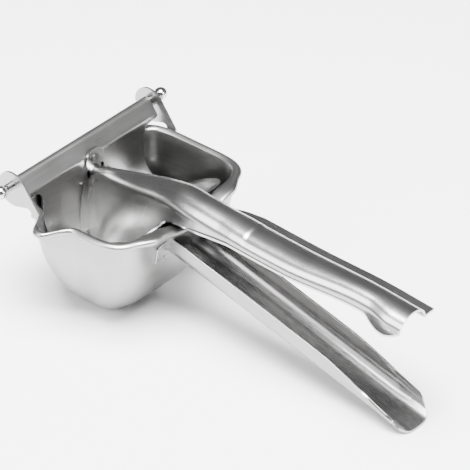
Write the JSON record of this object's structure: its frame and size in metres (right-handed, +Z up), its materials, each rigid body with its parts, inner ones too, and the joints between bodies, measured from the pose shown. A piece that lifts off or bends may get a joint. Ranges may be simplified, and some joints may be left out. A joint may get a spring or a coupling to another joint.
{
  "type": "hand fruit press",
  "caption": "Stainless steel hand fruit press: a lipped bowl with a channel handle, and a hinged pressing dish with an arched handle.",
  "frame": {"origin": "centre of the flat on the bowl's underside", "axes": "+Z up, +X from the hinge towards the free ends of the handles, +Y along the hinge rod away from the pouring lip"},
  "size_m": [0.2342, 0.131, 0.0821],
  "materials": {
    "bowl_steel": "satin",
    "ear_steel": "satin",
    "plate_steel": "satin",
    "handle_steel": "semi-polished",
    "rod_steel": "polished",
    "weld_steel": "matte"
  },
  "bodies": {
    "bowl": {"bowl": "bowl_steel", "ear_left": "ear_steel", "ear_right": "ear_steel", "lower_handle": "handle_steel", "lower_handle_welds": "weld_steel"},
    "press": {"press_plate": "plate_steel", "tongue_rivet": "weld_steel", "upper_handle": "handle_steel", "upper_handle_welds": "weld_steel"},
    "rod": {"hinge_rod": "rod_steel", "ball_nut": "rod_steel"}
  },
  "joints": [
    {"name": "press_hinge", "type": "hinge", "parent": "bowl", "child": "press", "pos_m": [-0.036, 0, 0.0745], "axis": [0, -1, 0], "range_deg": [0, 180]},
    {"name": "rod_spin", "type": "hinge", "parent": "bowl", "child": "rod", "pos_m": [-0.036, 0, 0.0745], "axis": [0, 1, 0], "continuous": true}
  ]
}
